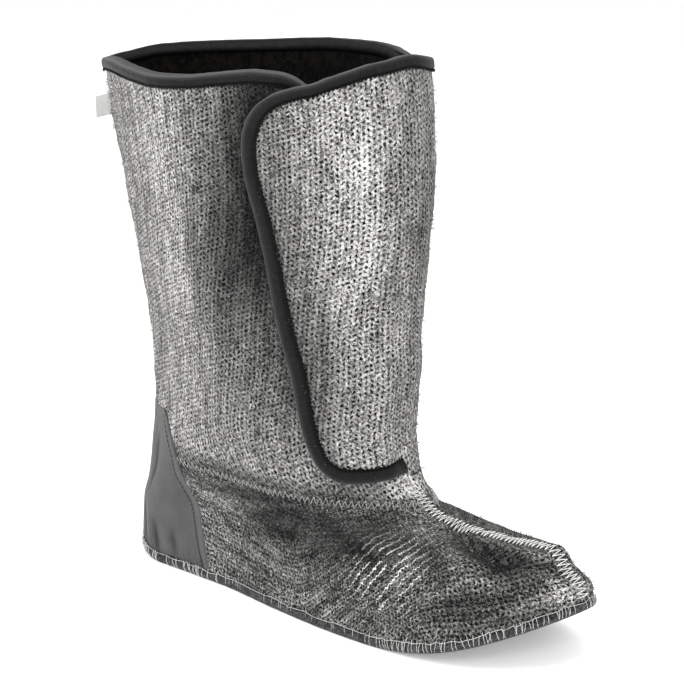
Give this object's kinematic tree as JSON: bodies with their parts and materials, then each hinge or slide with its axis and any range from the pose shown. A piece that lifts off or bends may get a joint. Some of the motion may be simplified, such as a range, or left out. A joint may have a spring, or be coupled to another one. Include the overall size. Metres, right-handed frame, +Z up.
{
  "type": "felt boot liner",
  "caption": "Tall grey felt inner boot for the right foot, with a wrap flap down the outer front of the shaft, black bound edges, a flat felt sole and a twill heel patch.",
  "frame": {"origin": "on the floor, under the middle of the heel", "axes": "+X toward the toe, +Y toward the wearer's left, which is the inner side of this right boot, +Z up"},
  "size_m": [0.3551, 0.1343, 0.2974],
  "materials": {
    "shaft_felt": "light grey flecked knit felt with soft ribs",
    "foot_felt": "dark charcoal knit felt with pale flecks and a fuzzy edge",
    "binding_tape": "black woven tape with fine cross ribs",
    "heel_twill": "worn grey black twill",
    "ribbon": "white woven ribbon, bare"
  },
  "bodies": {
    "root": {"sole": "foot_felt", "upper": "shaft_felt", "flap_binding": "binding_tape", "collar_binding": "binding_tape", "heel_patch": "heel_twill", "label": "ribbon"}
  },
  "joints": []
}
